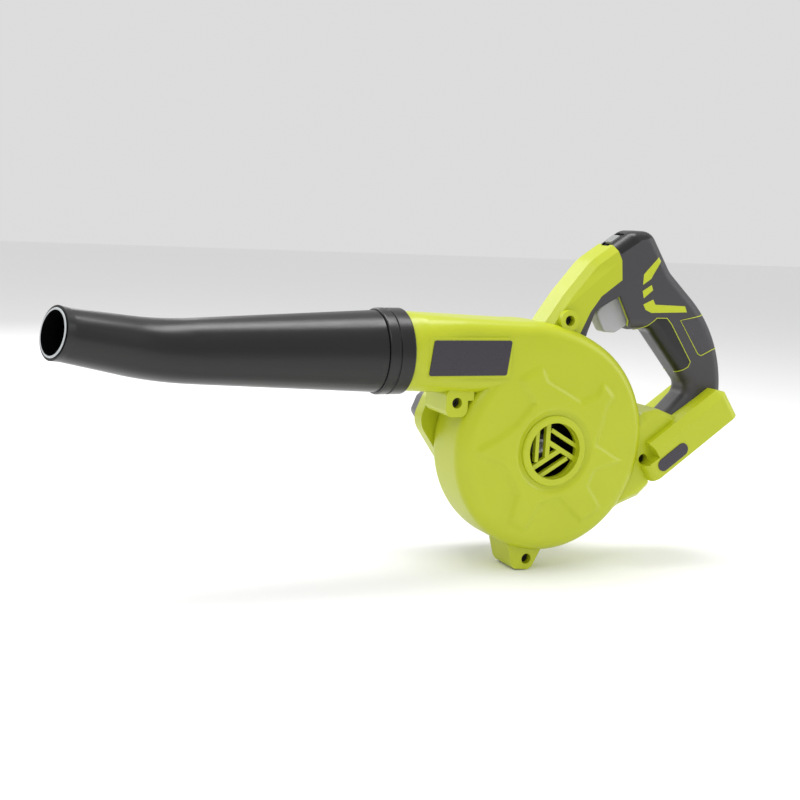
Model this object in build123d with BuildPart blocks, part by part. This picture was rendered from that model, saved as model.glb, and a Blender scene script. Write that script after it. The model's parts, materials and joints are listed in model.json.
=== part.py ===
"""Battery leaf blower: spiral fan housing, outlet duct with a bent nozzle, D-handle and battery dock.

Frame: x to the rear, -x along the nozzle, z up. The fan's axis runs along y, and the air is drawn in
from the -y side. The origin is on the fan's axis, in the plane of the intake mouth. Sizes in millimetres.
"""
from build123d import *
import os
from math import asin, atan2, cos, degrees, pi, radians, sin, tan

# ---------------------------------------------------------------- driving dimensions
WALL = 2.6                  # housing walls
FIT = 0.1                   # gap between pieces that are pushed together
RUN = 0.05                  # radial clearance of a running shaft or swivel
MOVE = 0.4                  # gap round sliding pieces

# spiral fan case: a round stretch, then two arcs that grow towards the outlet
CASE_R = 98.5
CASE_GROWTH = 8.2           # how much larger the second arc's radius is
THROAT_GROWTH = 54.0        # how much larger the third arc's radius is
GROWTH_FROM = -60.0         # angle where the second arc starts
THROAT_FROM = 60.0          # angle where the third arc starts
TOP_RISE = 2.5              # slope of the duct's top line
CASE_HALF = 33.0            # half the case's width
RING_RISE = 3.0             # how far the intake's ring stands out of the case
PARTING_Y = CASE_HALF + RING_RISE   # parting plane behind the intake mouth
CASE_RIM = 14.0             # rounding of the case's rim

# outlet duct
THROAT_X = -95.0            # where the case ends and the duct starts to turn round
DUCT_FLAT_X = -136.0        # how far the duct's sides stay flat
DUCT_END_X = -150.0
DUCT_R = 36.0
DUCT_CORNER = 24.0          # rounding of the duct's long edges where its sides end
DUCT_Z = 90.5
SPIGOT_R = 33.0
SPIGOT_L = 18.0
SPIGOT_BORE_R = 29.5

# intake
INTAKE_R = 34.0
MOUTH_R = 27.0
MOUTH_DEPTH = 6.0           # depth of the round mouth in front of the bars
BAR_W = 4.6
BAR_DEPTH = 5.0
BAR_INNER = 4.8             # middle of each long bar beside the fan's axis
BAR_OUTER = 16.0            # and of the short bar beyond it
BAR_TURN = -30.0            # direction of the first pair of bars

# handle
HANDLE_HALF = 18.5
HANDLE_ROUND = 12.0
STRUT_CHAMFER = 6.0
GRIP_SKIN = 3.0             # thickness of the soft grip
TRIGGER_TILT = 29.3         # the trigger slides in along this slope
TRIGGER_W = 16.0
SELECTOR_X = 69.5
SELECTOR_TRAVEL = 8.0

# battery dock
DOCK_TILT = 35.0
DOCK_L = 115.0
DOCK_W = 80.0
DOCK_H = 34.0
DOCK_X = 160.7              # middle of the dock's open face
DOCK_Z = -1.0
WELL_L = 100.0
WELL_W = 66.0
WELL_H = 16.0
STEM_H = DOCK_H - WELL_H - WALL     # height of the stem socket above the well
STEM_L = 30.0
STEM_W = 36.0
STEM_AT = 10.0              # place of the stem along the dock
NOTCH_L = 17.0              # notches beside the rear screw's lug
NOTCH_IN = 24.0
NOTCH_H = WELL_H + WALL

# fan and motor
SHAFT_R = 2.5
IMPELLER_R = 72.0
EYE_R = 36.0
BLADE_COUNT = 11
BLADE_T = 1.8
MOTOR_R = 24.0
MOTOR_L = 37.0
SLEEVE_T = 4.0              # rubber sleeve between motor and cradle

# motor cover
PEDESTAL_H = 12.0           # the housing's raised rim under the motor cover
PEDESTAL_STEP = 4.0
COVER_H = 41.0
COVER_TAPER = 12.0          # how much the cover's outline shrinks towards its end face
COVER_WALL = 2.5

# nozzle
COLLAR_R = 39.2
COLLAR_FRONT_X = -175.0
ROOT_D = 74.0
TIP_D = 43.3
NOZZLE_WALL = 2.0
STRAIGHT_END_X = -341.6     # where the nozzle's bend starts
BEND_R = 171.5
BEND_ANGLE = 20.6
TIP_STRAIGHT = 65.6
TIP_SWIVEL = 57.8           # turn of the bent tip about the duct's axis, from straight up to the intake side
TIP_BORE_R = 18.5
TIP_RING_L = 12.0

PARTING = Plane.XZ.offset(-PARTING_Y)


def side_plane(y):
    """Plane across the fan's axis, y behind the parting plane: sketch x to the rear, sketch y up."""
    return PARTING.offset(-y)


def cross_plane(x, z):
    """Plane across the duct at x: sketch x along the fan's axis, sketch y up, facing the nozzle's root."""
    return Plane(origin=(x, PARTING_Y, z), x_dir=(0, 1, 0), z_dir=(1, 0, 0))


def tilted_plane(x, z, tilt, y=0.0):
    """Side plane through (x, z) whose sketch x climbs to the rear by tilt degrees."""
    slope = (cos(radians(tilt)), 0, sin(radians(tilt)))
    return Plane(origin=(x, PARTING_Y + y, z), x_dir=slope, z_dir=(0, -1, 0))


def floor_plane(x, z, tilt, height=0.0):
    """Plane that lies along a slope: sketch x climbs to the rear, sketch y runs along the fan's axis."""
    slope = (cos(radians(tilt)), 0, sin(radians(tilt)))
    normal = (-sin(radians(tilt)), 0, cos(radians(tilt)))
    return Plane(origin=(x, PARTING_Y, z), x_dir=slope, z_dir=normal).offset(height)


def polar(centre, radius, angle):
    return Vector(centre[0] + radius * cos(radians(angle)), centre[1] + radius * sin(radians(angle)))


# ---------------------------------------------------------------- outlines and forms
SECOND_CENTRE = polar((0, 0), -CASE_GROWTH, GROWTH_FROM)
THIRD_CENTRE = polar(tuple(SECOND_CENTRE)[:2], -THROAT_GROWTH, THROAT_FROM)
THROAT_BOTTOM = DUCT_Z - DUCT_R

# corners of the handle's side view with their rounding, from the strut's foot over the head and down the grip
SHOULDER = (39, 178)
HEAD_FRONT = (83, 207.5)
HANDLE_CORNERS = [((-20, 100), 16), ((12, 146), 40), (SHOULDER, 50), (HEAD_FRONT, 16), ((106, 208), 15),
                  ((131, 170), 30), ((208.5, 100.2), 130), ((200, 12), 16), ((140, 5), 12), ((130, 21.5), 12),
                  ((163.5, 54), 10), ((111, 113), 13), ((46, 112), 6), ((42, 86), 14)]
SELECTOR_TILT = degrees(atan2(HEAD_FRONT[1] - SHOULDER[1], HEAD_FRONT[0] - SHOULDER[0]))


def case_profile(plane, inset):
    """Side view of the fan case with its throat."""
    r1 = CASE_R - inset
    r2 = r1 + CASE_GROWTH
    r3 = r2 + THROAT_GROWTH
    c2 = tuple(SECOND_CENTRE)[:2]
    c3 = tuple(THIRD_CENTRE)[:2]
    bottom = THROAT_BOTTOM + inset
    touch = polar(c3, r3, 90 + TOP_RISE)
    top = touch.Y + (touch.X - THROAT_X) * tan(radians(TOP_RISE))
    start = 180 - degrees(asin(bottom / r1))
    with BuildSketch(plane) as profile:
        with BuildLine():
            CenterArc((0, 0), r1, start, 360 + GROWTH_FROM - start)
            CenterArc(c2, r2, GROWTH_FROM, THROAT_FROM - GROWTH_FROM)
            CenterArc(c3, r3, THROAT_FROM, 90 + TOP_RISE - THROAT_FROM)
            Polyline(touch, (THROAT_X, top), (THROAT_X, bottom), polar((0, 0), r1, start))
        make_face()
    return profile.sketch


def long_rims(part, half):
    """Edges in the two planes that lie half to each side of the parting plane."""
    return part.edges().filter_by(lambda edge: abs(abs(edge.center().Y - PARTING_Y) - half) < 0.01)


def case_form(inset):
    """Fan case with rounded rims."""
    half = CASE_HALF - inset
    with BuildPart() as form:
        extrude(case_profile(side_plane(half), inset), amount=2 * half)
        rims = long_rims(form, half).filter_by(lambda edge: edge.center().X > THROAT_X + 0.01)
        fillet(rims, radius=CASE_RIM - inset)
    return form.part


def duct_form(inset):
    """Outlet duct, from the throat's flat sides to a round end."""
    throat = (case_inner if inset else case_outer).faces().sort_by(Axis.X)[0]
    flat_w = 2 * (DUCT_R - 0.8 - inset)
    end_w = 2 * (DUCT_R - inset)
    with BuildPart() as form:
        with BuildSketch(cross_plane(DUCT_FLAT_X, DUCT_Z), mode=Mode.PRIVATE) as flat_end:
            RectangleRounded(flat_w, flat_w, DUCT_CORNER - inset)
        loft(sections=[throat, flat_end.sketch.face()])
        with BuildSketch(cross_plane(DUCT_FLAT_X, DUCT_Z)):
            RectangleRounded(flat_w, flat_w, DUCT_CORNER - inset)
        with BuildSketch(cross_plane(DUCT_END_X, DUCT_Z)):
            RectangleRounded(end_w, end_w, end_w / 2 - 0.05)
        loft()
    return form.part


def handle_profile(plane, inset):
    """Side view of the strut, the handle's head and the grip."""
    corners = [point for point, radius in HANDLE_CORNERS]
    radii = [radius for point, radius in HANDLE_CORNERS]
    with BuildSketch(plane) as profile:
        with BuildLine():
            FilletPolyline(*corners, radius=radii, close=True)
        make_face()
        if inset:
            offset(amount=-inset, kind=Kind.INTERSECTION)
    return profile.sketch


def handle_form(inset, half, rounding, squared=False):
    """Handle bar of the given half width, with round or chamfered long edges."""
    with BuildPart() as form:
        extrude(handle_profile(side_plane(half), inset), amount=2 * half)
        if squared:
            chamfer(long_rims(form, half), length=rounding)
        else:
            fillet(long_rims(form, half), radius=rounding)
    return form.part


def side_prism(points, half):
    """Straight-sided block of the given outline, centred on the parting plane."""
    with BuildPart() as block:
        with BuildSketch(side_plane(half)):
            with BuildLine():
                Polyline(*points, close=True)
            make_face()
        extrude(amount=2 * half)
    return block.part


GRIP_ZONE = [(20, 240), (62, 194), (70, 180), (72, 161), (50, 145), (39, 130), (20, 90),
             (100, 60), (127, 34), (152, 20), (194, 48), (240, 60), (240, 240)]
BEZEL_ZONE = [(53, 201), (61, 193), (69, 185.5), (90.5, 199), (112, 204), (116, 230), (40, 230)]
TRIGGER_BAY = [(91, 110), (71, 146), (44, 131), (34, 100), (80, 88)]

grip_zone = side_prism(GRIP_ZONE, 60)
bezel_zone = side_prism(BEZEL_ZONE, 60)
trigger_bay = side_prism(TRIGGER_BAY, 60)
case_outer = case_form(0)
case_inner = case_form(WALL)
core_half = HANDLE_HALF - GRIP_SKIN
core_form = handle_form(GRIP_SKIN, core_half, STRUT_CHAMFER, squared=True)
grip_form = handle_form(0, HANDLE_HALF, HANDLE_ROUND)

SELECTOR_AT = (SELECTOR_X, SHOULDER[1] + (SELECTOR_X - SHOULDER[0]) * tan(radians(SELECTOR_TILT)))
TRIGGER_AT = (83.0, 122.0)
CASE_IN = CASE_HALF - WALL


def cover_profile(plane, grow=0.0):
    """Outline of the motor cover's foot."""
    corners = [(-109, 20), (-99, 44), (-74, 62), (60, 62), (84, 34), (84, -24), (54, -61), (-51, -63)]
    with BuildSketch(plane) as profile:
        with BuildLine():
            FilletPolyline(*corners, radius=[17, 17, 17, 17, 17, 17, 17, 17], close=True)
        make_face()
        if grow:
            offset(amount=grow, kind=Kind.INTERSECTION)
    return profile.sketch


def round_post(x, z, radius, y_from, y_to):
    """Solid cylinder along the fan's axis."""
    with BuildPart() as post:
        with BuildSketch(side_plane(y_to)):
            with Locations((x, z)):
                Circle(radius)
        extrude(amount=y_to - y_from)
    return post.part


def block_on(plane, length, width, height, corner=0.0):
    """Block that stands on a plane."""
    with BuildPart() as block:
        with BuildSketch(plane):
            if corner:
                RectangleRounded(length, width, corner)
            else:
                Rectangle(length, width)
        extrude(amount=height)
    return block.part


def trigger_plane(along, across, y=0.0):
    """Side plane centred on a point given along and across the trigger's slide."""
    tilt = radians(TRIGGER_TILT)
    x = TRIGGER_AT[0] + along * cos(tilt) - across * sin(tilt)
    z = TRIGGER_AT[1] + along * sin(tilt) + across * cos(tilt)
    return tilted_plane(x, z, TRIGGER_TILT, y)


def dock_plane(along, height):
    """Plane parallel to the dock's open face: sketch x along the dock, sketch y across it."""
    tilt = radians(DOCK_TILT)
    return floor_plane(DOCK_X + along * cos(tilt), DOCK_Z + along * sin(tilt), DOCK_TILT, height)


def selector_plane(height):
    """Plane parallel to the bezel's sloping top, height above its surface."""
    return floor_plane(SELECTOR_AT[0], SELECTOR_AT[1], SELECTOR_TILT, height)


def spring_coil(plane, radius, wire, length, turns):
    """Round-wire coil that stands on a plane."""
    start = plane.origin + plane.z_dir * (wire / 2)
    with BuildPart() as coil:
        with BuildLine() as path:
            Helix((length - wire) / turns, length - wire, radius, center=start, direction=plane.z_dir)
        with BuildSketch(Plane(origin=path.line @ 0, z_dir=path.line % 0)):
            Circle(wire / 2)
        sweep(path=path.line, is_frenet=True)
    return coil.part


# ---------------------------------------------------------------- housing
# screw lugs: x, z, left end and right end from the parting plane
TOP_LUG = (13.8, 122.0, -24.0, 17.0)
DUCT_LUG = (-101.0, 46.0, -26.0, 17.0)
BOTTOM_LUG = (-14.6, -107.0, -21.0, 17.0)
REAR_LUG = (106.0, -12.6, -27.0, 17.0)
LUGS = [TOP_LUG, DUCT_LUG, BOTTOM_LUG, REAR_LUG]
BOTTOM_LUG_OUTLINE = [(-38, -84), (-30, -112), (-27, -116), (-12.5, -117.5), (-8, -114.5), (5, -90)]
HEAD_R = 4.2
HEAD_H = 3.0
HEAD_SINK = 9.0             # depth of the screw seat below the lug's face
SHANK_R = 1.95
THREAD_L = 13.0

FAIRING = [(60, -74), (84, -58), (106, -50), (128, -30), (160, 0), (160, 24), (146, 27), (122, 36),
           (106, 33), (97, 24), (60, 30)]
FAIRING_HALF = 27.0
BADGE_AT = (-94.5, 88.5)
BADGE_L = 79.0
BADGE_H = 32.0
BADGE_T = 0.8
BADGE_FACE = 35.4           # distance of the badge's pad from the parting plane
COVER_BOSSES = [(-80, 28), (56, 42), (62, -26), (-46, -42)]
BOSS_R = 5.0
CRADLE_R = MOTOR_R + SLEEVE_T
CRADLE_L = 22.0
MOTOR_NOSE_R = 8.5
SWITCH_L = 22.0
SWITCH_H = 22.0
SWITCH_HALF = 11.0
SWITCH_AT = (33.0, 6.0)     # middle of the switch along and across the trigger's slide
BOARD_DROP = 10.0           # top of the speed board below the bezel's surface
BOARD_L = 26.0
BOARD_W = 16.0
BOARD_T = 1.6
SELECTOR_SLOT_W = 6.0
SELECTOR_STEM_L = 6.0
SEAL_X = -160.0
SEAL_WIRE_R = 1.4

with BuildPart() as fairing:
    with BuildSketch(side_plane(FAIRING_HALF)):
        with BuildLine():
            Polyline(*FAIRING, close=True)
        make_face()
    extrude(amount=2 * FAIRING_HALF)
    chamfer(fairing.faces().filter_by(Axis.Y).edges(), length=5)

with BuildPart() as dock_block:
    with BuildSketch(dock_plane(0, 0)):
        RectangleRounded(DOCK_L, DOCK_W, 9)
    extrude(amount=DOCK_H)
    chamfer(dock_block.faces().filter_by(dock_plane(0, 0)).sort_by(Axis.Z)[-1].edges(), length=7)
    with BuildSketch(dock_plane(0, NOTCH_H)):
        with Locations((-DOCK_L / 2, -NOTCH_IN - DOCK_W / 2), (-DOCK_L / 2, NOTCH_IN + DOCK_W / 2)):
            Rectangle(2 * NOTCH_L, DOCK_W)
    extrude(amount=DOCK_H, mode=Mode.SUBTRACT)

with BuildPart() as lugs:
    for lug_x, lug_z, lug_left, lug_right in (TOP_LUG, REAR_LUG):
        add(round_post(lug_x, lug_z, 10.0, lug_left, lug_right))
    with BuildSketch(side_plane(DUCT_LUG[3])):
        with Locations(DUCT_LUG[:2]):
            RectangleRounded(22, 26, 7)
        with Locations((DUCT_LUG[0] + 9, DUCT_LUG[1] + 7)):
            Rectangle(16, 10)
    extrude(amount=DUCT_LUG[3] - DUCT_LUG[2])
    with BuildSketch(side_plane(BOTTOM_LUG[3])):
        with BuildLine():
            Polyline(*BOTTOM_LUG_OUTLINE, close=True)
        make_face()
    extrude(amount=BOTTOM_LUG[3] - BOTTOM_LUG[2])

with BuildPart() as pedestal:
    with BuildSketch(side_plane(CASE_HALF + PEDESTAL_H)):
        add(cover_profile(side_plane(CASE_HALF + PEDESTAL_H), PEDESTAL_STEP))
    extrude(amount=PEDESTAL_H + 6)
    chamfer(pedestal.faces().sort_by(Axis.Y)[-1].edges(), length=PEDESTAL_STEP - 1.5)

pedestal_hollow = extrude(cover_profile(side_plane(CASE_HALF + PEDESTAL_H), -COVER_WALL), amount=PEDESTAL_H)

with BuildPart() as badge_pads:
    for pad_side in (-1, 1):
        with BuildSketch(side_plane(pad_side * BADGE_FACE)):
            with Locations(BADGE_AT):
                RectangleRounded(BADGE_L + 5, BADGE_H + 5, 4)
        extrude(amount=8 * pad_side)

with BuildPart() as strut:
    add(handle_form(0, HANDLE_HALF, STRUT_CHAMFER, squared=True))
    add(grip_zone, mode=Mode.SUBTRACT)

with BuildPart() as handle_hollow:
    add(handle_form(GRIP_SKIN + WALL, core_half - WALL, STRUT_CHAMFER - 2, squared=True))
    add(case_outer, mode=Mode.SUBTRACT)
    add(dock_block.part, mode=Mode.SUBTRACT)
    for lug_x, lug_z, lug_left, lug_right in LUGS:
        add(round_post(lug_x, lug_z, 10.0, lug_left, lug_right), mode=Mode.SUBTRACT)

with BuildPart() as trigger_slot:
    with BuildSketch(trigger_plane(0, 0).offset(-TRIGGER_W / 2 - MOVE)):
        with Locations((-8, 8.75)):
            Rectangle(62, 33.5)
    extrude(amount=TRIGGER_W + 2 * MOVE)

BUTTON_L = 12.0
BUTTON_W = 12.0
RECESS = 1.4                # depth of the bezel's recess round the button
recess_l = BUTTON_L + SELECTOR_TRAVEL + 2
selector_recess = block_on(selector_plane(-RECESS), recess_l, BUTTON_W + 2, 20, 2)
slot_l = SELECTOR_STEM_L + SELECTOR_TRAVEL + 2 * MOVE
selector_slot = block_on(selector_plane(-20), slot_l, SELECTOR_SLOT_W + 2 * MOVE, 30)

with BuildPart() as housing:
    add(strut.part)
    add(core_form)
    add(trigger_bay, mode=Mode.SUBTRACT)
    add(case_outer)
    add(duct_form(0))
    with BuildSketch(cross_plane(DUCT_END_X, DUCT_Z)):
        Circle(SPIGOT_R)
    extrude(amount=-SPIGOT_L)
    add(fairing.part)
    add(dock_block.part)
    add(lugs.part)
    add(pedestal.part)
    add(badge_pads.part)
    add(case_inner, mode=Mode.SUBTRACT)
    add(duct_form(WALL), mode=Mode.SUBTRACT)
    with BuildSketch(cross_plane(DUCT_END_X, DUCT_Z)):
        Circle(DUCT_R - 1)
    extrude(amount=WALL + 1)
    with BuildSketch(cross_plane(DUCT_END_X + WALL + 2, DUCT_Z)):
        Circle(SPIGOT_BORE_R)
    extrude(amount=-SPIGOT_L - WALL - 3, mode=Mode.SUBTRACT)
    add(handle_hollow.part, mode=Mode.SUBTRACT)
    add(trigger_slot.part, mode=Mode.SUBTRACT)
    add(selector_slot, mode=Mode.SUBTRACT)
    add(selector_recess, mode=Mode.SUBTRACT)
    add(pedestal_hollow, mode=Mode.SUBTRACT)
    # open face of the dock, battery well and stem socket
    add(block_on(dock_plane(0, -DOCK_H), DOCK_L, DOCK_W + DOCK_H, DOCK_H), mode=Mode.SUBTRACT)
    add(block_on(dock_plane(0, 0), WELL_L, WELL_W, WELL_H, 5), mode=Mode.SUBTRACT)
    add(block_on(dock_plane(STEM_AT, WELL_H), STEM_L, STEM_W, STEM_H, 4), mode=Mode.SUBTRACT)
    # motor cradle, cover bosses and the seats that hold the switch and the board
    add(round_post(0, 0, CRADLE_R + WALL, CASE_HALF, CASE_HALF + CRADLE_L))
    add(round_post(0, 0, CRADLE_R, CASE_HALF, CASE_HALF + CRADLE_L), mode=Mode.SUBTRACT)
    add(round_post(0, 0, MOTOR_NOSE_R + FIT, CASE_IN - 1, CASE_HALF + 1), mode=Mode.SUBTRACT)
    for boss_x, boss_z in COVER_BOSSES:
        add(round_post(boss_x, boss_z, BOSS_R, CASE_HALF, CASE_HALF + PEDESTAL_H))
        add(round_post(boss_x, boss_z, 2.0, CASE_HALF + 1, CASE_HALF + PEDESTAL_H), mode=Mode.SUBTRACT)
    for seat_side in (-1, 1):
        seat_mid = seat_side * (SWITCH_HALF + core_half - WALL + 0.5) / 2
        seat_deep = core_half - WALL + 0.5 - SWITCH_HALF
        with BuildSketch(trigger_plane(*SWITCH_AT, y=seat_mid + seat_deep / 2)):
            Rectangle(12, 12)
        extrude(amount=seat_deep)
        ledge_y = seat_side * (BOARD_W / 2 + core_half - WALL) / 2
        with BuildSketch(selector_plane(-BOARD_DROP - BOARD_T)):
            with Locations((0, ledge_y)):
                Rectangle(BOARD_L, core_half - WALL - BOARD_W / 2 + 3)
        extrude(amount=-2)
    # intake
    add(round_post(0, 0, INTAKE_R, -CASE_HALF - 1, -CASE_IN + 1), mode=Mode.SUBTRACT)
    # screw holes
    for lug_x, lug_z, lug_left, lug_right in LUGS:
        seat_y = lug_left + HEAD_SINK
        add(round_post(lug_x, lug_z, HEAD_R + 0.8, lug_left - 12, seat_y), mode=Mode.SUBTRACT)
        add(round_post(lug_x, lug_z, SHANK_R + 0.3, seat_y, 0), mode=Mode.SUBTRACT)
        add(round_post(lug_x, lug_z, SHANK_R + RUN, 0, THREAD_L + 1), mode=Mode.SUBTRACT)
    # groove for the nozzle's seal
    with BuildSketch(Plane.XZ.offset(-PARTING_Y)):
        with Locations((SEAL_X, DUCT_Z + SPIGOT_R - SEAL_WIRE_R)):
            Rectangle(2 * SEAL_WIRE_R + 0.4, 2 * SEAL_WIRE_R + 2 * RUN)
    revolve(axis=Axis((0, PARTING_Y, DUCT_Z), (1, 0, 0)), mode=Mode.SUBTRACT)

with BuildPart() as left_housing:
    add(housing.part)
    split(bisect_by=PARTING, keep=Keep.TOP)
with BuildPart() as right_housing:
    add(housing.part)
    split(bisect_by=PARTING, keep=Keep.BOTTOM)

PARTS = {}


def keep(name, part):
    """Labels a finished piece and holds it for export."""
    part.label = name
    PARTS[name] = part


keep("left_housing", left_housing.part)
keep("right_housing", right_housing.part)

# ---------------------------------------------------------------- soft grip and its inlays
SKIN_T = 1.2
FINGER_PANEL = [(106, 117), (115, 125), (127, 125), (133, 119), (159, 82), (157, 77), (143, 67), (118, 72),
                (94, 112)]
PALM_PANEL = [(143, 123), (164, 127), (188, 131), (208, 98), (184, 94), (171, 88), (167, 90)]
CHEVRONS = [[(96, 167), (112, 184), (115, 180), (107, 167), (105, 163), (96, 157)],
            [(96, 151), (106, 157), (108, 152), (98, 144)],
            [(98, 138), (109, 143), (112, 138), (147, 137), (150, 131), (108, 130), (101, 133)]]

with BuildPart() as grip_cover:
    add(grip_form)
    add(grip_zone, mode=Mode.INTERSECT)
    add(bezel_zone, mode=Mode.SUBTRACT)
    add(housing.part, mode=Mode.SUBTRACT)
    add(core_form, mode=Mode.SUBTRACT)
    add(dock_block.part, mode=Mode.SUBTRACT)
    add(fairing.part, mode=Mode.SUBTRACT)
    add(case_outer, mode=Mode.SUBTRACT)
    add(trigger_bay, mode=Mode.SUBTRACT)
    add(trigger_slot.part, mode=Mode.SUBTRACT)

grip_skin = grip_form - handle_form(SKIN_T, HANDLE_HALF - SKIN_T, HANDLE_ROUND - SKIN_T)
side_halves = (("left", Keep.TOP), ("right", Keep.BOTTOM))
finger_panels = grip_skin & side_prism(FINGER_PANEL, 60)
palm_panels = grip_skin & side_prism(PALM_PANEL, 60)
inlays = [grip_skin & side_prism(outline, 60) for outline in CHEVRONS]

with BuildPart() as trimmed_cover:
    add(grip_cover.part)
    add(finger_panels, mode=Mode.SUBTRACT)
    add(palm_panels, mode=Mode.SUBTRACT)
    for inlay in inlays:
        add(inlay, mode=Mode.SUBTRACT)

for side, half in side_halves:
    with BuildPart() as cover_half:
        add(trimmed_cover.part)
        split(bisect_by=PARTING, keep=half)
    keep(side + "_grip_cover", cover_half.part)

keep("grip_finger_panels", finger_panels)
keep("grip_palm_panels", palm_panels)
keep("grip_inlays", Compound(children=[solid for inlay in inlays for solid in inlay.solids()]))

# ---------------------------------------------------------------- selector
BUTTON_H = 3.0

with BuildPart() as selector_bezel:
    add(grip_form)
    add(bezel_zone, mode=Mode.INTERSECT)
    add(grip_zone, mode=Mode.INTERSECT)
    add(core_form, mode=Mode.SUBTRACT)
    add(selector_slot, mode=Mode.SUBTRACT)
    add(selector_recess, mode=Mode.SUBTRACT)
keep("selector_bezel", selector_bezel.part)

with BuildPart() as speed_selector:
    with BuildSketch(selector_plane(-RECESS + 0.1)):
        RectangleRounded(BUTTON_L, BUTTON_W, 2)
    extrude(amount=BUTTON_H)
    fillet(speed_selector.faces().sort_by(Axis.Z)[-1].edges(), radius=0.8)
    with BuildSketch(selector_plane(-RECESS + 0.1)):
        Rectangle(SELECTOR_STEM_L, SELECTOR_SLOT_W)
    extrude(amount=-(BOARD_DROP - RECESS - 0.3))
keep("speed_selector", speed_selector.part)
board_w = 2 * (core_half - WALL - 1)
keep("speed_board", block_on(selector_plane(-BOARD_DROP - BOARD_T), BOARD_L, board_w, BOARD_T))

# ---------------------------------------------------------------- trigger and switch
# outline along and across the trigger's slide, from its lower edge round the finger face to its inner end
TRIGGER_OUTLINE = [(-13, -7.5), (-23.5, -1), (-24.3, 10), (-23.5, 21), (-12, 25), (14, 25), (14, -7.5)]


with BuildPart() as trigger:
    with BuildSketch(trigger_plane(0, 0).offset(-TRIGGER_W / 2)):
        with BuildLine():
            FilletPolyline(*TRIGGER_OUTLINE, radius=[4, 4, 60, 5, 4, 0, 0], close=True)
        make_face()
    extrude(amount=TRIGGER_W)
    fillet(long_rims(trigger, TRIGGER_W / 2), radius=2.2)
keep("trigger", trigger.part)
switch_front = SWITCH_AT[0] - SWITCH_L / 2
with BuildPart() as switch_module:
    with BuildSketch(trigger_plane(*SWITCH_AT).offset(-SWITCH_HALF)):
        RectangleRounded(SWITCH_L, SWITCH_H, 1.5)
    extrude(amount=2 * SWITCH_HALF)
keep("switch_module", switch_module.part)
spring_foot = trigger_plane(14.05, SWITCH_AT[1])
spring_plane = Plane(origin=spring_foot.origin, z_dir=spring_foot.x_dir)
keep("trigger_spring", spring_coil(spring_plane, 3.2, 0.7, switch_front - 14.1, 3))

# ---------------------------------------------------------------- intake grille
FLANGE_T = 2.0
with BuildPart() as intake_grille:
    with BuildSketch(side_plane(-CASE_IN + FLANGE_T)):
        Circle(INTAKE_R + 3)
    extrude(amount=FLANGE_T)
    with BuildSketch(side_plane(-CASE_IN)):
        Circle(INTAKE_R - FIT)
    extrude(amount=PARTING_Y - CASE_IN)
    with BuildSketch(side_plane(-PARTING_Y + MOUTH_DEPTH + BAR_DEPTH)):
        Circle(MOUTH_R + 2)
    extrude(amount=BAR_DEPTH)
    fillet(intake_grille.edges().filter_by(GeomType.CIRCLE).sort_by(Axis.Y)[0], radius=2.4)
    with BuildSketch(side_plane(-PARTING_Y + MOUTH_DEPTH)):
        Circle(MOUTH_R)
    extrude(amount=MOUTH_DEPTH, mode=Mode.SUBTRACT)
    with BuildSketch(side_plane(-PARTING_Y + MOUTH_DEPTH + BAR_DEPTH)):
        Circle(MOUTH_R - 0.5)
    extrude(amount=BAR_DEPTH, mode=Mode.SUBTRACT)
    with BuildSketch(side_plane(-PARTING_Y + MOUTH_DEPTH + BAR_DEPTH)):
        with PolarLocations(0, 3, start_angle=BAR_TURN):
            with Locations((MOUTH_R / 2 - 4, BAR_INNER)):
                Rectangle(MOUTH_R + 9, BAR_W)
            with Locations((MOUTH_R / 2 - 7.5, BAR_OUTER)):
                Rectangle(MOUTH_R + 7, BAR_W - 0.8)
        Circle(MOUTH_R + 0.5, mode=Mode.INTERSECT)
    extrude(amount=BAR_DEPTH)
keep("intake_grille", intake_grille.part)

# ---------------------------------------------------------------- fan
BACKPLATE_Y = 19.0
BACKPLATE_T = 2.0
SHROUD_Y = -23.0
HUB_R = 11.0
HUB_FRONT = -8.0
HUB_BACK = 26.0

with BuildPart() as impeller:
    with BuildSketch(side_plane(BACKPLATE_Y + BACKPLATE_T)):
        Circle(IMPELLER_R)
    extrude(amount=BACKPLATE_T)
    with BuildSketch(side_plane(SHROUD_Y + BACKPLATE_T)):
        Circle(IMPELLER_R)
        Circle(EYE_R, mode=Mode.SUBTRACT)
    extrude(amount=BACKPLATE_T)
    with BuildSketch(side_plane(BACKPLATE_Y)):
        with PolarLocations(0, BLADE_COUNT):
            with BuildLine():
                inner = RadiusArc((EYE_R - 3, 0), polar((0, 0), IMPELLER_R - 0.5, -38), 55)
                outer = RadiusArc(polar((0, 0), EYE_R - 3, 360 * BLADE_T / (2 * pi * EYE_R)),
                                  polar((0, 0), IMPELLER_R - 0.5, -36.5), 55)
                Line(inner @ 0, outer @ 0)
                Line(inner @ 1, outer @ 1)
            make_face()
    extrude(amount=BACKPLATE_Y - SHROUD_Y - BACKPLATE_T)
    with BuildSketch(side_plane(HUB_BACK)):
        Circle(HUB_R)
    extrude(amount=HUB_BACK - HUB_FRONT)
    with BuildSketch(side_plane(HUB_BACK + 1)):
        Circle(SHAFT_R)
    extrude(amount=HUB_BACK - HUB_FRONT + 2, mode=Mode.SUBTRACT)
keep("impeller", impeller.part)


def ring(outer, bore, y_from, y_to):
    """Round ring about the fan's axis."""
    with BuildPart() as part:
        with BuildSketch(side_plane(y_to)):
            Circle(outer)
            Circle(bore, mode=Mode.SUBTRACT)
        extrude(amount=y_to - y_from)
    return part.part


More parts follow.
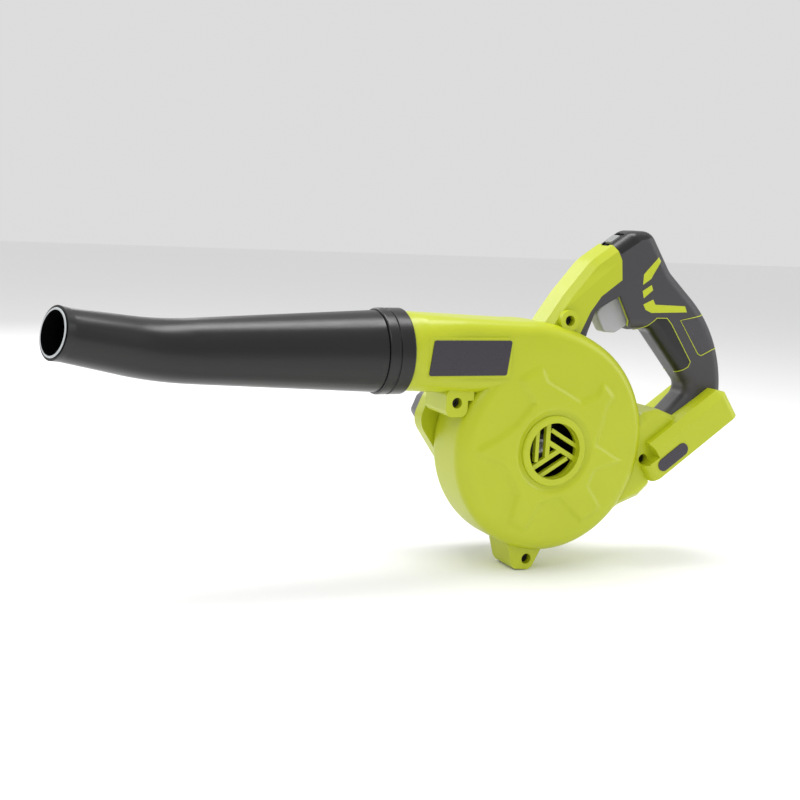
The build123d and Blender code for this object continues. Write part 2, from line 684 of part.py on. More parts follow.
WASHER_T = 1.2
NUT_T = 4.5
keep("impeller_washer", ring(6.5, SHAFT_R, HUB_FRONT - WASHER_T, HUB_FRONT))
nut_back = HUB_FRONT - WASHER_T
with BuildPart() as impeller_nut:
    with BuildSketch(side_plane(nut_back)):
        RegularPolygon(4.6, 6)
        Circle(SHAFT_R, mode=Mode.SUBTRACT)
    extrude(amount=NUT_T)
keep("impeller_nut", impeller_nut.part)

# ---------------------------------------------------------------- motor
CAN_T = 1.6
can_back = CASE_HALF + MOTOR_L
BEARING_R = 6.5
BEARING_T = 5.0
ARMATURE_R = 16.4
ARMATURE_Y = (42.0, 59.0)
COMMUTATOR_R = 6.5
COMMUTATOR_Y = (61.0, 69.0)
BRUSH_Y = 65.0
BRUSH_W = 4.8
BRUSH_H = 5.8
bell_plate = 3.0
bell_back = can_back + 9.0
shaft_back = bell_back - 0.5

with BuildPart() as motor_can:
    add(ring(MOTOR_R, MOTOR_R - CAN_T, CASE_HALF, can_back))
    add(ring(MOTOR_R - CAN_T, MOTOR_NOSE_R - 2, CASE_HALF, CASE_HALF + 2))
    add(ring(MOTOR_NOSE_R, BEARING_R, CASE_IN - 1.5, CASE_HALF + 2))
    add(ring(BEARING_R, 4, CASE_HALF + 1, CASE_HALF + 2))
keep("motor_can", motor_can.part)
front_seat = CASE_HALF + 1
keep("front_bearing", ring(BEARING_R, SHAFT_R + RUN, front_seat - BEARING_T, front_seat))
with BuildPart() as end_bell:
    add(ring(MOTOR_R, MOTOR_NOSE_R - 2, can_back, can_back + bell_plate))
    add(ring(MOTOR_NOSE_R, BEARING_R, can_back, bell_back))
    add(ring(BEARING_R, 4, bell_back - BEARING_T - 1, bell_back - BEARING_T))
keep("end_bell", end_bell.part)
keep("rear_bearing", ring(BEARING_R, SHAFT_R + RUN, bell_back - BEARING_T, bell_back))
keep("motor_shaft", round_post(0, 0, SHAFT_R, nut_back - NUT_T - 2, shaft_back))
keep("armature", ring(ARMATURE_R, SHAFT_R, *ARMATURE_Y))
keep("commutator", ring(COMMUTATOR_R, SHAFT_R, *COMMUTATOR_Y))

with BuildPart() as field_magnets:
    with BuildSketch(side_plane(ARMATURE_Y[1] + 3)):
        Circle(MOTOR_R - CAN_T)
        Circle(ARMATURE_R + 0.7, mode=Mode.SUBTRACT)
        Rectangle(4 * MOTOR_R, 14, mode=Mode.SUBTRACT)
    extrude(amount=ARMATURE_Y[1] - ARMATURE_Y[0] + 5)
keep("field_magnets", field_magnets.part)

holder_x = 15.5
holder_l = 12.0
with BuildPart() as brush_holders:
    with BuildSketch(side_plane(can_back)):
        with GridLocations(2 * holder_x, 0, 2, 1):
            Rectangle(holder_l, BRUSH_H + 3)
    extrude(amount=can_back - BRUSH_Y + BRUSH_W / 2 + 1.5)
    with BuildSketch(side_plane(BRUSH_Y + BRUSH_W / 2 + FIT)):
        with GridLocations(2 * holder_x, 0, 2, 1):
            Rectangle(holder_l + 1, BRUSH_H + 2 * FIT)
    extrude(amount=BRUSH_W + 2 * FIT, mode=Mode.SUBTRACT)
keep("brush_holders", brush_holders.part)
with BuildPart() as carbon_brushes:
    with BuildSketch(side_plane(BRUSH_Y + BRUSH_W / 2)):
        with GridLocations(2 * (COMMUTATOR_R + 0.1 + 4.5), 0, 2, 1):
            Rectangle(9, BRUSH_H)
    extrude(amount=BRUSH_W)
keep("carbon_brushes", carbon_brushes.part)
brush_back = COMMUTATOR_R + 0.1 + 9
springs = []
for spring_side in (-1, 1):
    foot_x = spring_side * (brush_back + 0.05)
    foot = Plane(origin=(foot_x, PARTING_Y + BRUSH_Y, 0), z_dir=(spring_side, 0, 0))
    springs.append(spring_coil(foot, 1.8, 0.5, MOTOR_R - CAN_T - brush_back - 0.1, 4))
keep("brush_springs", Compound(children=springs))
keep("motor_sleeve", ring(CRADLE_R, MOTOR_R, CASE_HALF + 2, CASE_HALF + CRADLE_L - 2))

# ---------------------------------------------------------------- motor cover
cover_foot = CASE_HALF + PEDESTAL_H
cover_top = cover_foot + COVER_H
taper_angle = degrees(atan2(COVER_TAPER, COVER_H))
with BuildPart() as motor_cover:
    extrude(cover_profile(side_plane(cover_foot)), amount=-COVER_H, taper=taper_angle)
    fillet(motor_cover.faces().sort_by(Axis.Y)[-1].edges(), radius=4)
    extrude(cover_profile(side_plane(cover_foot), -COVER_WALL), amount=-(COVER_H - COVER_WALL),
            taper=taper_angle, mode=Mode.SUBTRACT)
    for boss_x, boss_z in COVER_BOSSES:
        add(round_post(boss_x, boss_z, BOSS_R + 1, cover_foot, cover_top - COVER_WALL))
        add(round_post(boss_x, boss_z, 4.0, cover_foot + 6, cover_top + 5), mode=Mode.SUBTRACT)
        add(round_post(boss_x, boss_z, 1.9, cover_foot - 1, cover_top), mode=Mode.SUBTRACT)
    with BuildSketch(side_plane(cover_top + 1)):
        with GridLocations(11, 0, 7, 1):
            SlotOverall(46, 5, rotation=90)
    extrude(amount=COVER_WALL + 3, mode=Mode.SUBTRACT)
keep("motor_cover", motor_cover.part)

# ---------------------------------------------------------------- fasteners


def torx_screw(x, z, y_head, length, shank_r, head_r, towards=1):
    """Pan-head screw along the fan's axis: its head's underside is at y_head, its shank runs towards +y."""
    face_y = y_head - towards * HEAD_H
    end_y = y_head + towards * length
    with BuildPart() as screw:
        add(round_post(x, z, head_r, min(y_head, face_y), max(y_head, face_y)))
        add(round_post(x, z, shank_r, min(y_head, end_y), max(y_head, end_y)))
        with BuildSketch(side_plane(face_y)):
            with Locations((x, z)):
                RegularPolygon(head_r * 0.55, 6)
                RegularPolygon(head_r * 0.55, 6, rotation=30)
        extrude(amount=-towards * 1.6, mode=Mode.SUBTRACT)
    return screw.part


lug_screws = [torx_screw(lug[0], lug[1], lug[2] + HEAD_SINK, THREAD_L - lug[2] - HEAD_SINK, SHANK_R, HEAD_R)
              for lug in LUGS]
keep("housing_screws", Compound(children=lug_screws))
cover_screws = [torx_screw(boss[0], boss[1], cover_foot + 6, 15, 1.8, 3.6, towards=-1)
                for boss in COVER_BOSSES]
keep("motor_cover_screws", Compound(children=cover_screws))

# ---------------------------------------------------------------- battery terminals
BLOCK_H = 8.0
BLADE_L = 13.0
stem_top = WELL_H + STEM_H
terminal_block = block_on(dock_plane(STEM_AT, stem_top - BLOCK_H), STEM_L - 1, STEM_W - 1, BLOCK_H, 3)
with BuildPart() as terminal_blades:
    with BuildSketch(dock_plane(STEM_AT, stem_top - BLOCK_H)):
        with GridLocations(0, 9, 1, 4):
            Rectangle(10, 0.9)
    extrude(amount=-BLADE_L)
keep("terminal_block", terminal_block)
keep("terminal_blades", terminal_blades.part)

# ---------------------------------------------------------------- badges and plaques
BADGE_SLANT = 2.0


def badge_corner(right, top):
    """Corner of the badge's slanted outline."""
    return (BADGE_AT[0] + right * BADGE_L / 2 + top * BADGE_SLANT, BADGE_AT[1] + top * BADGE_H / 2)


badges = []
for badge_side in (-1, 1):
    with BuildPart() as badge:
        with BuildSketch(side_plane(badge_side * BADGE_FACE)):
            with BuildLine():
                FilletPolyline(badge_corner(-1, -1), badge_corner(1, -1), badge_corner(1, 1),
                               badge_corner(-1, 1), radius=2, close=True)
            make_face()
        extrude(amount=-badge_side * BADGE_T)
    badges.append(badge.part)
keep("side_badges", Compound(children=badges))

PLAQUE_AT = (-28.0, 10.0)
plaques = []
for plaque_side in (-1, 1):
    tilt = radians(DOCK_TILT)
    plaque_x = DOCK_X + PLAQUE_AT[0] * cos(tilt) - PLAQUE_AT[1] * sin(tilt)
    plaque_z = DOCK_Z + PLAQUE_AT[0] * sin(tilt) + PLAQUE_AT[1] * cos(tilt)
    with BuildPart() as plaque:
        with BuildSketch(tilted_plane(plaque_x, plaque_z, DOCK_TILT, plaque_side * DOCK_W / 2)):
            SlotOverall(38, 13)
        extrude(amount=-plaque_side * BADGE_T)
    plaques.append(plaque.part)
keep("dock_plaques", Compound(children=plaques))

# ---------------------------------------------------------------- nozzle
GROOVE_R = 37.05
NECK_R = 35.0
NECK_BORE_R = 32.5

def duct_ring(outer, bore, x_from, x_to):
    """Ring about the duct's axis."""
    with BuildPart() as part:
        with BuildSketch(cross_plane(x_from, DUCT_Z)):
            Circle(outer)
            Circle(bore, mode=Mode.SUBTRACT)
        extrude(amount=x_to - x_from)
    return part.part


with BuildPart() as nozzle_collar:
    add(duct_ring(COLLAR_R, SPIGOT_R + RUN, COLLAR_FRONT_X, DUCT_END_X - FIT))
    fillet(nozzle_collar.edges().filter_by(GeomType.CIRCLE).group_by(SortBy.RADIUS)[-1], radius=1.6)
    add(duct_ring(GROOVE_R, 1, COLLAR_FRONT_X + 2.4, COLLAR_FRONT_X + 5.8), mode=Mode.SUBTRACT)
    add(duct_ring(NECK_R + RUN, 1, COLLAR_FRONT_X - 1, COLLAR_FRONT_X + 3), mode=Mode.SUBTRACT)
    add(duct_ring(COLLAR_R + 1, COLLAR_R - 1.2, COLLAR_FRONT_X + 9, COLLAR_FRONT_X + 11), mode=Mode.SUBTRACT)
keep("nozzle_collar", nozzle_collar.part)

nozzle_root_x = COLLAR_FRONT_X - MOVE
straight_l = nozzle_root_x - STRAIGHT_END_X
arc_l = BEND_R * radians(BEND_ANGLE)
nozzle_l = straight_l + arc_l + TIP_STRAIGHT
bend_side = Vector(0, -sin(radians(TIP_SWIVEL)), cos(radians(TIP_SWIVEL)))


def nozzle_station(s):
    """Point and forward direction on the nozzle's centre line, s from its root."""
    if s <= straight_l:
        return Vector(nozzle_root_x - s, PARTING_Y, DUCT_Z), Vector(-1, 0, 0)
    turn = min(s - straight_l, arc_l) / BEND_R
    forward = Vector(-1, 0, 0) * cos(turn) + bend_side * sin(turn)
    point = Vector(STRAIGHT_END_X, PARTING_Y, DUCT_Z)
    point = point + Vector(-1, 0, 0) * (BEND_R * sin(turn)) + bend_side * (BEND_R * (1 - cos(turn)))
    return point + forward * max(0, s - straight_l - arc_l), forward


def nozzle_radius(s):
    return (ROOT_D + (TIP_D - ROOT_D) * s / nozzle_l) / 2


def nozzle_form(inset):
    """Tapered tube form: a straight cone, then the bend and the tip in short stretches."""
    stations = [0, straight_l]
    stations += [straight_l + arc_l * step / 6 for step in range(1, 7)]
    stations += [nozzle_l]
    with BuildPart() as form:
        for first, last in zip(stations[:-1], stations[1:]):
            for s in (first, last):
                point, forward = nozzle_station(s)
                with BuildSketch(Plane(origin=point, x_dir=(0, 1, 0), z_dir=forward)):
                    Circle(nozzle_radius(s) - inset)
            loft(ruled=True)
    return form.part


tip_point, tip_forward = nozzle_station(nozzle_l)
tip_plane = Plane(origin=tip_point, x_dir=(0, 1, 0), z_dir=tip_forward)
with BuildPart() as nozzle_tube:
    add(nozzle_form(0))
    with BuildSketch(tip_plane.offset(-9)):
        Circle(nozzle_radius(nozzle_l - 9) - 0.05)
    with BuildSketch(tip_plane):
        Circle(TIP_D / 2 + 0.9)
    loft()
    add(nozzle_form(NOZZLE_WALL), mode=Mode.SUBTRACT)
    add(duct_ring(ROOT_D / 2 - 0.5, NECK_BORE_R, nozzle_root_x - 4, nozzle_root_x))
    add(duct_ring(NECK_R, NECK_BORE_R, nozzle_root_x, COLLAR_FRONT_X + 5.7))
    add(duct_ring(GROOVE_R - RUN, NECK_BORE_R, COLLAR_FRONT_X + 2.5, COLLAR_FRONT_X + 5.7))
    with BuildSketch(tip_plane.offset(0.5)):
        Circle(TIP_BORE_R + 2)
    extrude(amount=-TIP_RING_L - 0.5, mode=Mode.SUBTRACT)
keep("nozzle_tube", nozzle_tube.part)

with BuildPart() as nozzle_tip_ring:
    with BuildSketch(tip_plane.offset(1.4)):
        Circle(TIP_BORE_R + 2 - FIT)
        Circle(TIP_BORE_R, mode=Mode.SUBTRACT)
    extrude(amount=-TIP_RING_L - 1.3)
    tip_edges = nozzle_tip_ring.edges().filter_by(GeomType.CIRCLE).sort_by(Axis.X)[0:2]
    fillet(tip_edges.sort_by(SortBy.RADIUS)[-1], radius=0.8)
keep("nozzle_tip_ring", nozzle_tip_ring.part)

with BuildPart() as nozzle_seal:
    with BuildSketch(PARTING):
        with Locations((SEAL_X, DUCT_Z + SPIGOT_R - SEAL_WIRE_R)):
            Circle(SEAL_WIRE_R)
    revolve(axis=Axis((0, PARTING_Y, DUCT_Z), (1, 0, 0)))
keep("nozzle_seal", nozzle_seal.part)

os.makedirs("parts", exist_ok=True)
for name, part in PARTS.items():
    export_step(part, "parts/" + name + ".step")
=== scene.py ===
"""Looks of the battery leaf blower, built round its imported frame. Lengths are in metres."""
import json
from math import cos, radians, sin

import bmesh
import bpy
from mathutils import Matrix, Vector


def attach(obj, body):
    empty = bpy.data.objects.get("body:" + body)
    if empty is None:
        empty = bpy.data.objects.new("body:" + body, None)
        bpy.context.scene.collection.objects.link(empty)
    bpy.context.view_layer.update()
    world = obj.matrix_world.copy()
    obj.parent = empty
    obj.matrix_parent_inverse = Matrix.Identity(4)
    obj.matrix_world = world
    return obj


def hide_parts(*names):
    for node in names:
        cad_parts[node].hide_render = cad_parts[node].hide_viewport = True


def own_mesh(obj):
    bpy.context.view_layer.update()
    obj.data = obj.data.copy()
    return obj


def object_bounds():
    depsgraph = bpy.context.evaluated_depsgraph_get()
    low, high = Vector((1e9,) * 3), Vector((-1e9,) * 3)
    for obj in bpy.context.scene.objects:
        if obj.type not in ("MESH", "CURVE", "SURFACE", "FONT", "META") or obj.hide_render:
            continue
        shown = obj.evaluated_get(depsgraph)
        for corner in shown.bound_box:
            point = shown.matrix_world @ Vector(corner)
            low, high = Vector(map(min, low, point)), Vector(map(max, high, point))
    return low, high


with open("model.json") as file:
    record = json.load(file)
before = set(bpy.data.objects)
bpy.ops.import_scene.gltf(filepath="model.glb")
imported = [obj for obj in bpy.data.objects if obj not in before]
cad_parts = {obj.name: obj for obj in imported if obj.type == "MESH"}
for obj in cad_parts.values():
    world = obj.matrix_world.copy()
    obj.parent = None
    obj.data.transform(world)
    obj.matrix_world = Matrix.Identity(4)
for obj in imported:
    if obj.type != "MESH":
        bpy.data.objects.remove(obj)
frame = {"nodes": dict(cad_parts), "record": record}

cad_low, cad_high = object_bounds()
MM = 0.001

# ---------------------------------------------------------------- camera, light and floor
AZIMUTH = -24.8             # degrees round the object, from its intake side
ELEVATION = 8.75
ROLL = 3.06
LENS = 60.75                # focal length and sensor width in millimetres
SENSOR = 36.0
CAMERA_AT = Vector((-0.6573, -1.0697, 0.2329))
SURROUND_STRENGTH = 0.72
FLOOR_REACH = 6.0
FLOOR_GAP = 0.0005          # how far the floor lies under the lowest point
FLOOR_PAINT = (0.92, 0.92, 0.92, 1)
FLOOR_ROUGHNESS = 0.9
# soft boxes: place from the object's middle, width and height, power in watts
LIGHTS = {
    "key": ((-0.9, -1.0, 1.5), (0.9, 0.9), 7),
    "top": ((0.1, 0.2, 1.5), (1.4, 0.5), 17),
    "side": ((1.5, -0.6, 0.5), (0.4, 1.2), 4),
    "back": ((-0.4, 1.6, 0.8), (1.4, 0.8), 9),
}


def add_camera():
    """Camera in front of the intake side, towards the nozzle, with a slight roll."""
    a, e, r = radians(AZIMUTH), radians(ELEVATION), radians(ROLL)
    back = Vector((sin(a) * cos(e), -cos(a) * cos(e), sin(e)))
    right = Vector((cos(a), sin(a), 0))
    up = back.cross(right)
    rolled_right = right * cos(r) + up * sin(r)
    rolled_up = up * cos(r) - right * sin(r)
    data = bpy.data.cameras.new("camera")
    data.lens = LENS
    data.sensor_width = SENSOR
    data.clip_start = 0.01
    camera = bpy.data.objects.new("camera", data)
    camera.matrix_world = Matrix((rolled_right, rolled_up, back)).transposed().to_4x4()
    camera.location = CAMERA_AT
    bpy.context.scene.collection.objects.link(camera)
    bpy.context.scene.camera = camera


def add_area_light(name, place, target, size, power):
    """Rectangular soft box at place that points at target."""
    data = bpy.data.lights.new(name, "AREA")
    data.shape = "RECTANGLE"
    data.size = size[0]
    data.size_y = size[1]
    data.energy = power
    light = bpy.data.objects.new(name, data)
    light.location = place
    direction = Vector(target) - Vector(place)
    light.rotation_mode = "QUATERNION"
    light.rotation_quaternion = direction.to_track_quat("-Z", "Y")
    bpy.context.scene.collection.objects.link(light)


def add_studio():
    """Plain pale floor, a pale surround and soft lights."""
    world = bpy.data.worlds.new("surround")
    world.use_nodes = True
    background = world.node_tree.nodes["Background"]
    background.inputs["Color"].default_value = (1, 1, 1, 1)
    background.inputs["Strength"].default_value = SURROUND_STRENGTH
    bpy.context.scene.world = world
    bpy.context.scene.view_settings.view_transform = "Standard"
    middle = (cad_low + cad_high) / 2
    for name, (offset, size, power) in LIGHTS.items():
        add_area_light(name, middle + Vector(offset), middle, size, power)
    mesh = bpy.data.meshes.new("floor")
    level = cad_low.z - FLOOR_GAP
    corners = [(FLOOR_REACH * x, FLOOR_REACH * y, level) for x, y in ((-1, -1), (1, -1), (1, 1), (-1, 1))]
    mesh.from_pydata(corners, [], [(0, 1, 2, 3)])
    floor = bpy.data.objects.new("floor", mesh)
    bpy.context.scene.collection.objects.link(floor)
    paint = new_material("floor_paint")
    shader = paint.node_tree.nodes["Principled BSDF"]
    shader.inputs["Base Color"].default_value = FLOOR_PAINT
    shader.inputs["Roughness"].default_value = FLOOR_ROUGHNESS
    mesh.materials.append(paint)


# ---------------------------------------------------------------- materials
COAT_ROUGHNESS = 0.12
BROAD_MOTTLE = 38           # millimetres across one patch of slightly other colour
SMUDGE = 9                  # millimetres across one patch of slightly other gloss
GLOSS_SPREAD = 0.15         # how far the roughness strays, as a share
BUMP_HEIGHT = 0.3           # millimetres
BRUSH_STRETCH = (1, 0.03, 1)
WEAR_FROM = 0.53            # pointiness at which an edge begins to look worn
WEAR_TO = 0.62


def new_material(name):
    material = bpy.data.materials.new(name)
    material.use_nodes = True
    return material


def srgb(red, green, blue):
    """Linear colour of an sRGB one given from 0 to 255."""
    def linear(value):
        share = value / 255
        return share / 12.92 if share <= 0.04045 else ((share + 0.055) / 1.055) ** 2.4
    return (linear(red), linear(green), linear(blue), 1)


def shade_of(colour, factor, lift=0.0):
    """The colour made lighter or darker by factor, and opaque."""
    return tuple(min(1, c * factor + lift) for c in colour[:3]) + (1,)


def moulded(name, colour, roughness, grain=0.0, grain_size=0.4, mottle=0.04, coat=0.0, metallic=0.0,
            pattern=None, wear=0.0):
    """Moulded plastic, rubber or metal: slight mottling of colour, uneven gloss and a fine surface grain.

    grain is the bump's strength and grain_size the size of one grain in millimetres. wear is how much lighter
    the sharp edges are.
    """
    material = new_material(name)
    nodes, links = material.node_tree.nodes, material.node_tree.links
    shader = nodes["Principled BSDF"]
    shader.inputs["Metallic"].default_value = metallic
    shader.inputs["Coat Weight"].default_value = coat
    shader.inputs["Coat Roughness"].default_value = COAT_ROUGHNESS
    place = nodes.new("ShaderNodeTexCoord")

    def noise(size_mm, detail, where=place.outputs["Object"]):
        node = nodes.new("ShaderNodeTexNoise")
        node.inputs["Scale"].default_value = 1 / (size_mm * MM)
        node.inputs["Detail"].default_value = detail
        links.new(where, node.inputs["Vector"])
        return node

    broad = noise(BROAD_MOTTLE, 3)
    tone = nodes.new("ShaderNodeMixRGB")
    tone.inputs["Color1"].default_value = shade_of(colour, 1 - mottle)
    tone.inputs["Color2"].default_value = shade_of(colour, 1 + mottle)
    links.new(broad.outputs["Fac"], tone.inputs["Fac"])
    paint = tone.outputs["Color"]
    if wear:
        edge = nodes.new("ShaderNodeNewGeometry")
        ramp = nodes.new("ShaderNodeMapRange")
        ramp.inputs["From Min"].default_value = WEAR_FROM
        ramp.inputs["From Max"].default_value = WEAR_TO
        ramp.inputs["To Max"].default_value = wear
        links.new(edge.outputs["Pointiness"], ramp.inputs["Value"])
        worn = nodes.new("ShaderNodeMixRGB")
        worn.inputs["Color2"].default_value = shade_of(colour, 1.6, 0.03)
        links.new(ramp.outputs["Result"], worn.inputs["Fac"])
        links.new(paint, worn.inputs["Color1"])
        paint = worn.outputs["Color"]
    links.new(paint, shader.inputs["Base Color"])
    gloss = nodes.new("ShaderNodeMapRange")
    gloss.inputs["To Min"].default_value = roughness * (1 - GLOSS_SPREAD)
    gloss.inputs["To Max"].default_value = min(1, roughness * (1 + GLOSS_SPREAD))
    smudge = noise(SMUDGE, 4)
    links.new(smudge.outputs["Fac"], gloss.inputs["Value"])
    links.new(gloss.outputs["Result"], shader.inputs["Roughness"])
    if grain:
        bump = nodes.new("ShaderNodeBump")
        bump.inputs["Strength"].default_value = grain
        bump.inputs["Distance"].default_value = BUMP_HEIGHT * MM
        if pattern == "cells":
            fine = nodes.new("ShaderNodeTexVoronoi")
            fine.inputs["Scale"].default_value = 1 / (grain_size * MM)
            links.new(place.outputs["Object"], fine.inputs["Vector"])
            links.new(fine.outputs["Distance"], bump.inputs["Height"])
        elif pattern == "brushed":
            stretch = nodes.new("ShaderNodeMapping")
            stretch.inputs["Scale"].default_value = BRUSH_STRETCH
            links.new(place.outputs["Object"], stretch.inputs["Vector"])
            fine = noise(grain_size, 2, stretch.outputs["Vector"])
            links.new(fine.outputs["Fac"], bump.inputs["Height"])
        else:
            fine = noise(grain_size, 2)
            links.new(fine.outputs["Fac"], bump.inputs["Height"])
        links.new(bump.outputs["Normal"], shader.inputs["Normal"])
    return material


FINISHES = {
    "shell": moulded("lime_plastic", srgb(180, 190, 24), 0.34, grain=0.05, grain_size=0.5, wear=0.12),
    "soft_grip": moulded("grip_rubber", srgb(56, 54, 57), 0.42, grain=0.22, grain_size=0.35, mottle=0.06),
    "panel_black": moulded("black_plastic", srgb(13, 12, 14), 0.34, grain=0.12, grain_size=0.4, wear=0.15),
    "palm_texture": moulded("palm_rubber", srgb(60, 58, 62), 0.55, grain=0.9, grain_size=1.6,
                            pattern="cells"),
    "circuit_board": moulded("circuit_board", srgb(20, 90, 50), 0.4, grain=0.3, grain_size=1.0),
    "steel": moulded("steel", srgb(180, 180, 184), 0.3, grain=0.15, grain_size=0.5, metallic=1.0,
                     pattern="brushed"),
    "screw_steel": moulded("screw_steel", srgb(52, 50, 50), 0.35, grain=0.1, grain_size=0.3, metallic=0.9),
    "magnet": moulded("ferrite", srgb(60, 60, 64), 0.6, grain=0.3, grain_size=0.5),
    "brass": moulded("brass", srgb(196, 150, 80), 0.3, grain=0.1, grain_size=0.4, metallic=1.0),
    "carbon": moulded("carbon", srgb(40, 40, 42), 0.7, grain=0.3, grain_size=0.4),
    "sleeve_rubber": moulded("sleeve_rubber", srgb(34, 34, 34), 0.7, grain=0.3, grain_size=0.4),
    "cover_grey": moulded("cover_plastic", srgb(62, 60, 65), 0.42, grain=0.15, grain_size=0.5, wear=0.15),
    "badge": moulded("badge_plastic", srgb(40, 34, 46), 0.28, grain=0.04, grain_size=0.5, coat=0.3),
    "fan_plastic": moulded("fan_plastic", srgb(36, 36, 36), 0.45, grain=0.15, grain_size=0.4),
    "winding": moulded("copper_winding", srgb(170, 96, 60), 0.35, grain=0.6, grain_size=0.6, metallic=0.8,
                       pattern="brushed"),
    "trigger_grey": moulded("trigger_plastic", srgb(176, 176, 180), 0.32, grain=0.05, grain_size=0.5,
                            wear=0.3),
    "button_grey": moulded("button_plastic", srgb(140, 142, 142), 0.4, grain=0.1, grain_size=0.4, wear=0.2),
    "nozzle_black": moulded("nozzle_plastic", srgb(7, 7, 8), 0.3, grain=0.08, grain_size=0.5, wear=0.1),
    # the tip ring's light grey is a painted highlight: it stands for the black nozzle's lit front lip
    "tip_grey": moulded("tip_ring", srgb(190, 194, 196), 0.3, grain=0.05, grain_size=0.4),
}
slot_of = {part["node"]: part["material_slot"] for part in frame["record"]["subparts"]}
body_of = {node: body for body, nodes in frame["record"]["behaviour"]["bodies"].items() for node in nodes}


def dress_cad_nodes():
    """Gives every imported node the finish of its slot."""
    for name, node in frame["nodes"].items():
        node.data.materials.clear()
        node.data.materials.append(FINISHES[slot_of[name]])


# ---------------------------------------------------------------- finished pieces
MERGE = 2e-6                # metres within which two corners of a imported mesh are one
FLAT_ANGLE = 0.6            # degrees below which neighbouring facets are one face
SHARP_ANGLE = 32            # degrees from which an edge is rounded rather than shaded smooth
ROUND_STEPS = 2
INTAKE_FACE_Y = 3.0         # the case's flat face behind the intake mouth
TIP_HIGHLIGHT_DEPTH = 0.6              # depth of the painted highlight at the nozzle's tip: a light-grey band that stands for the lit front lip
OUTLINE_R = 0.45            # radius of the lime line round a grip panel
OUTLINE_STEPS = 2
RIM_ANGLE = 20              # degrees an edge turns by at least to be a panel's rim
SIDE_TILT = 0.02            # how far a panel's side may lean across the grip


def smooth_step(low, high, value):
    share = max(0.0, min(1.0, (value - low) / (high - low)))
    return share * share * (3 - 2 * share)


# star round the intake: corners of the raised field, x and z from the fan's axis in millimetres
STAR = [(-47, 78), (-21, 86), (-12, 66), (26, 46), (44, 52), (56, 78), (70, 58), (56, 44), (46, 4), (74, -12),
        (46, -20), (40, -36), (58, -60), (36, -70), (10, -46), (-12, -50), (-30, -84), (-44, -70), (-36, -40),
        (-50, -14), (-86, 2), (-62, 12), (-42, 26), (-24, 46)]
STAR_RISE = 2.4             # height of the field above the case's face
STAR_SLOPE = 5.5            # width of its sloping edge
STAR_GRID = 2.0             # spacing of the cuts that carry it
STAR_REACH = 90             # half the width of the grid
RING_FADE = (36, 41)        # the rise begins between these radii, outside the intake's ring
RIM_FADE = (76, 83)         # and ends between these, inside the case's rim
FACE_AREA_MIN = 20          # square millimetres, leaves out slivers of the face
FACING = 0.999              # how squarely a face looks towards the intake side


def star_height(x, z):
    """Rise of the case's face at (x, z), all in millimetres."""
    inside = False
    nearest = 1e9
    here = Vector((x, z))
    for i, start in enumerate(STAR):
        a, b = Vector(start), Vector(STAR[i - 1])
        if (a.y > z) != (b.y > z) and x < (b.x - a.x) * (z - a.y) / (b.y - a.y) + a.x:
            inside = not inside
        side = b - a
        share = max(0.0, min(1.0, (here - a).dot(side) / side.length_squared))
        nearest = min(nearest, (here - a - side * share).length)
    signed = nearest if inside else -nearest
    field = smooth_step(-STAR_SLOPE / 2, STAR_SLOPE / 2, signed)
    ring_fade = smooth_step(*RING_FADE, here.length)
    rim_fade = 1 - smooth_step(*RIM_FADE, here.length)
    return STAR_RISE * field * ring_fade * rim_fade


def raise_star(work):
    """Cuts the case's flat intake face into a fine grid and lifts the star out of it."""
    face_y = INTAKE_FACE_Y * MM
    steps = round(STAR_REACH * 2 / STAR_GRID)
    cuts = [STAR_REACH * 2 * i / steps - STAR_REACH for i in range(steps + 1)]
    flat = [f for f in work.faces if f.normal.y < -FACING]
    flat = [f for f in flat if abs(f.calc_center_median().y - face_y) < 0.1 * MM]
    flat = [f for f in flat if f.calc_area() > FACE_AREA_MIN * MM * MM]
    for axis in (Vector((1, 0, 0)), Vector((0, 0, 1))):
        for cut in cuts:
            geometry = set(flat)
            for face in flat:
                geometry.update(face.edges)
                geometry.update(face.verts)
            made = bmesh.ops.bisect_plane(work, geom=list(geometry), plane_co=axis * (cut * MM),
                                          plane_no=axis, dist=1e-6)
            flat = [g for g in made["geom"] if isinstance(g, bmesh.types.BMFace)]
    points = set()
    for face in flat:
        points.update(face.verts)
    inner = [p for p in points if all(f.normal.y < -FACING for f in p.link_faces)]
    lifts = [star_height(p.co.x / MM, p.co.z / MM) for p in inner]
    for point, lift in zip(inner, lifts):
        point.co.y -= lift * MM
    bmesh.ops.triangulate(work, faces=flat)


def refined(node, bevel, shape=None):
    """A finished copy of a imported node: flat facets joined, edges rounded by bevel millimetres."""
    work = bmesh.new()
    work.from_mesh(frame["nodes"][node].data)
    bmesh.ops.remove_doubles(work, verts=work.verts, dist=MERGE)
    bmesh.ops.dissolve_limit(work, angle_limit=radians(FLAT_ANGLE), verts=work.verts, edges=work.edges)
    if shape:
        shape(work)
    mesh = bpy.data.meshes.new(node + "_finished")
    work.to_mesh(mesh)
    work.free()
    piece = bpy.data.objects.new(node + "_finished", mesh)
    bpy.context.scene.collection.objects.link(piece)
    for polygon in mesh.polygons:
        polygon.use_smooth = True
    mesh.set_sharp_from_angle(angle=radians(SHARP_ANGLE))
    if bevel:
        rounding = piece.modifiers.new("rounding", "BEVEL")
        rounding.width = bevel * MM
        rounding.segments = ROUND_STEPS
        rounding.limit_method = "ANGLE"
        rounding.angle_limit = radians(SHARP_ANGLE)
        rounding.use_clamp_overlap = True
        rounding.miter_outer = "MITER_ARC"
    normals = piece.modifiers.new("normals", "WEIGHTED_NORMAL")
    normals.keep_sharp = True
    mesh.materials.append(FINISHES[slot_of[node]])
    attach(piece, body_of[node])
    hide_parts(node)
    return piece


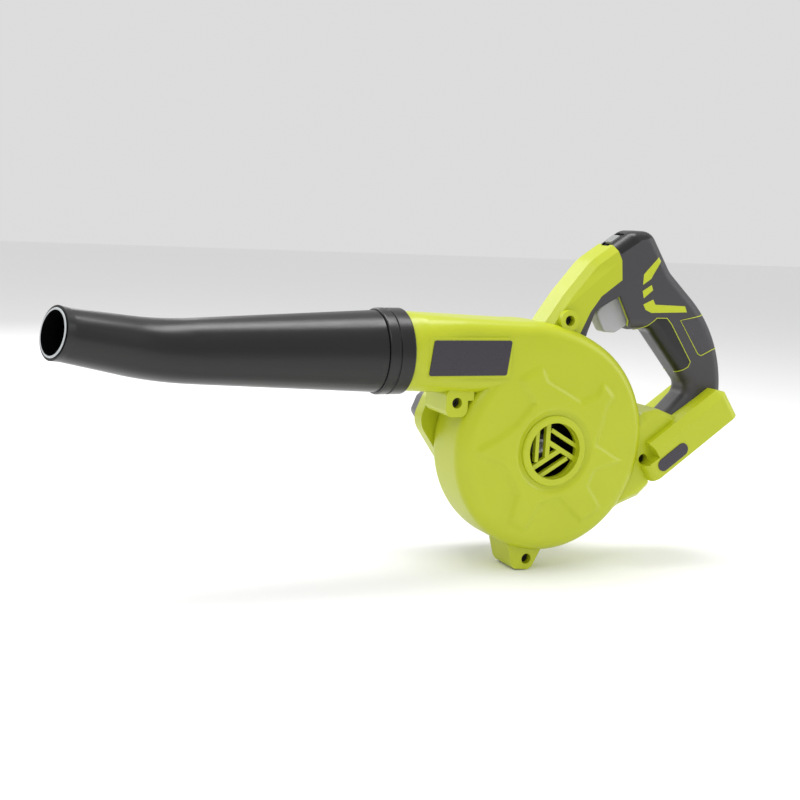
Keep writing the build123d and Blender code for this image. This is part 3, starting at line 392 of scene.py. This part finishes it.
def paint_tip_highlight(ring):
    """Only the tip ring's front edge keeps its light grey, a painted highlight where the lip catches the
    light: the rest of it is black.
    """
    tip = next(m for m in frame["record"]["mounts"] if m["name"] == "nozzle_tip")
    front = Vector(tip["pos_m"])
    out = Vector(tip["axis"])
    reach = max((v.co - front).dot(out) for v in ring.data.vertices)
    ring.data.materials.append(FINISHES["nozzle_black"])
    for face in ring.data.polygons:
        if reach - (face.center - front).dot(out) > TIP_HIGHLIGHT_DEPTH * MM:
            face.material_index = 1


def compress_with(spring):
    """The spring stands on the trigger; here it only gets its own copy of its mesh."""
    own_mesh(spring)


def panel_outlines(node, radius, name):
    """Raised lime line round each inlaid grip panel, along the outer edge where its side meets the grip."""
    work = bmesh.new()
    work.from_mesh(frame["nodes"][node].data)
    bmesh.ops.remove_doubles(work, verts=work.verts, dist=MERGE)

    def is_side(face):
        return abs(face.normal.y) < SIDE_TILT

    def rim(edge):
        if len(edge.link_faces) != 2 or edge.calc_face_angle(0) < radians(RIM_ANGLE):
            return False
        return is_side(edge.link_faces[0]) != is_side(edge.link_faces[1])

    drop = [e for e in work.edges if not rim(e)]
    bmesh.ops.delete(work, geom=drop, context="EDGES")
    loose = [v for v in work.verts if not v.link_edges]
    bmesh.ops.delete(work, geom=loose, context="VERTS")
    mesh = bpy.data.meshes.new(name)
    work.to_mesh(mesh)
    work.free()
    line = bpy.data.objects.new(name, mesh)
    bpy.context.scene.collection.objects.link(line)
    bpy.ops.object.select_all(action="DESELECT")
    line.select_set(True)
    bpy.context.view_layer.objects.active = line
    bpy.ops.object.convert(target="CURVE")
    line.data.bevel_depth = radius * MM
    line.data.bevel_resolution = OUTLINE_STEPS
    bpy.ops.object.convert(target="MESH")
    line.data.materials.clear()
    line.data.materials.append(FINISHES["shell"])
    for polygon in line.data.polygons:
        polygon.use_smooth = True
    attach(line, body_of[node])
    return line


# rounding of each finished piece's edges in millimetres
EDGES = {
    "motor_cover": 0.5, "left_grip_cover": 0.35, "right_grip_cover": 0.35, "selector_bezel": 0.3,
    "nozzle_collar": 0.4, "trigger": 1.1, "side_badges": 0.35, "dock_plaques": 0.35, "intake_grille": 0.35,
    "speed_selector": 0.3, "nozzle_tube": 0.3, "housing_screws": 0.2, "motor_cover_screws": 0.2,
    "impeller": 0.2,
}
HOUSING_EDGE = 0.5
TIP_RING_EDGE = 0.25

add_camera()
add_studio()
dress_cad_nodes()
refined("left_housing", HOUSING_EDGE, shape=raise_star)
refined("right_housing", HOUSING_EDGE)
for visible, edge in EDGES.items():
    refined(visible, edge)
# the tip ring's front band carries a painted highlight, the rest is black
paint_tip_highlight(refined("nozzle_tip_ring", TIP_RING_EDGE))
compress_with(refined("trigger_spring", 0))
for panels in ("grip_finger_panels", "grip_palm_panels"):
    panel_outlines(panels, OUTLINE_R, panels + "_outline")
